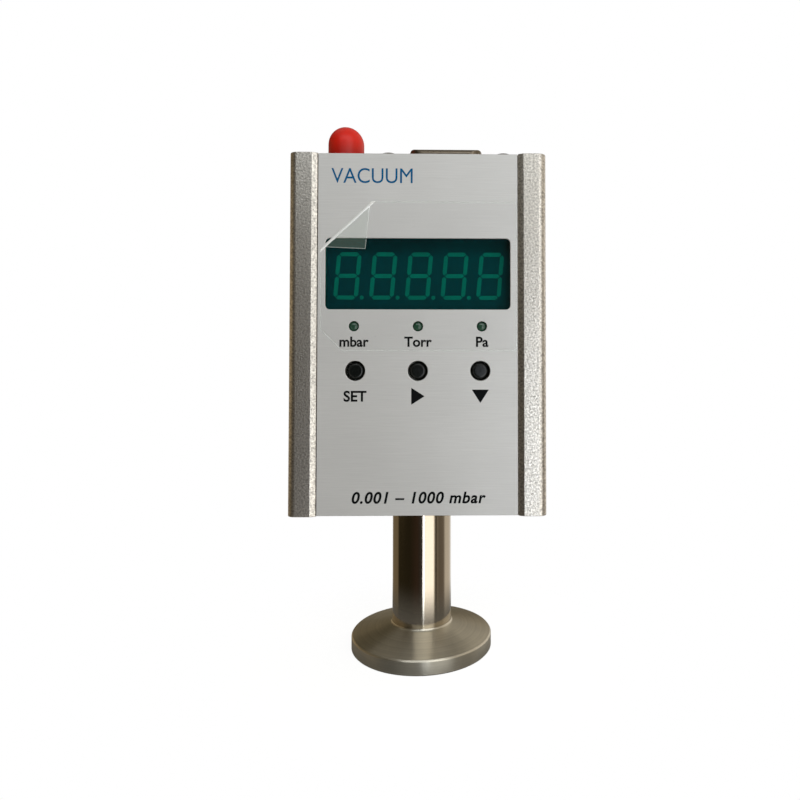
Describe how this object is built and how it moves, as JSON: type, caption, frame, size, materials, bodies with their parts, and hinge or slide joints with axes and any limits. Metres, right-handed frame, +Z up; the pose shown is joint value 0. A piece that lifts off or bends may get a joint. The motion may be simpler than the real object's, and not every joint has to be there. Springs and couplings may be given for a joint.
{
  "type": "pirani vacuum gauge",
  "caption": "Compact thermal-conductivity vacuum gauge: aluminium housing with digital display, lamps and keys, connectors on top, and a stainless sensor tube ending in a small KF flange.",
  "frame": {"origin": "centre of the flange's sealing face", "axes": "+Z up along the sensor tube, the display faces -Y, +X to the right of the display"},
  "size_m": [0.0504, 0.0353, 0.1123],
  "materials": {
    "blasted_aluminium": "bead-blasted and anodised, satin",
    "brushed_aluminium": "brushed along its width, anodised",
    "filter_pane": "glossy dark green acrylic",
    "clear_film": "clear polyethylene film",
    "steel": "turned stainless steel",
    "plated_steel": "nickel-plated, glossy",
    "brass": "gold-plated brass",
    "red_cap": "dip-moulded soft PVC",
    "black_plastic": "moulded, satin",
    "grey_plastic": "moulded, matt",
    "white_plastic": "turned PTFE",
    "green_lens": "tinted epoxy",
    "segment_green": "diffusing epoxy, unlit",
    "board_green": "solder-masked glass epoxy",
    "header_glass": "sealing glass",
    "tungsten": "drawn wire"
  },
  "bodies": {
    "housing": {"body_shell": "blasted_aluminium", "front_plate": "brushed_aluminium", "display_window": "filter_pane", "protective_film": "clear_film", "top_plate": "blasted_aluminium", "bottom_plate": "blasted_aluminium", "top_plate_screws": "steel", "bottom_plate_screws": "steel", "dsub_shell": "plated_steel", "dsub_rear_shell": "plated_steel", "dsub_insulator": "black_plastic", "dsub_contacts": "brass", "dsub_jackscrews": "plated_steel", "jackscrew_nuts": "plated_steel", "coax_jack": "brass", "coax_insulator": "white_plastic", "coax_contact": "brass", "coax_washer": "plated_steel", "coax_nut": "brass", "kf_flange": "steel", "sensor_tube": "steel", "tube_collar": "steel", "collar_screws": "steel", "header_ring": "steel", "header_glass": "header_glass", "header_pins": "brass", "filament_supports": "steel", "filament": "tungsten", "sensor_board": "board_green", "sensor_link": "brass", "display_board": "board_green", "display_module": "grey_plastic", "display_segments": "segment_green", "led_left": "green_lens", "led_middle": "green_lens", "led_right": "green_lens", "switch_body_left": "black_plastic", "switch_body_middle": "black_plastic", "switch_body_right": "black_plastic", "switch_cover_left": "plated_steel", "switch_cover_middle": "plated_steel", "switch_cover_right": "plated_steel", "switch_domes": "plated_steel", "main_board": "board_green", "board_header": "black_plastic", "board_socket": "black_plastic", "board_pins": "brass", "microcontroller": "grey_plastic", "bridge_amplifier": "grey_plastic", "regulator": "grey_plastic", "capacitors": "plated_steel", "connector_board": "board_green", "connector_link": "brass"},
    "left_key": {"button_left": "black_plastic"},
    "middle_key": {"button_middle": "black_plastic"},
    "right_key": {"button_right": "black_plastic"},
    "cap": {"dust_cap": "red_cap"}
  },
  "joints": [
    {"name": "left_key_press", "type": "slide", "parent": "housing", "child": "left_key", "axis": [0, 1, 0], "range_m": [0, 0.00025], "stiffness_N_per_m": 6400},
    {"name": "middle_key_press", "type": "slide", "parent": "housing", "child": "middle_key", "axis": [0, 1, 0], "range_m": [0, 0.00025], "stiffness_N_per_m": 6400},
    {"name": "right_key_press", "type": "slide", "parent": "housing", "child": "right_key", "axis": [0, 1, 0], "range_m": [0, 0.00025], "stiffness_N_per_m": 6400},
    {"name": "cap_pull", "type": "slide", "parent": "housing", "child": "cap", "axis": [0, 0, 1], "range_m": [0, 0.012]}
  ]
}
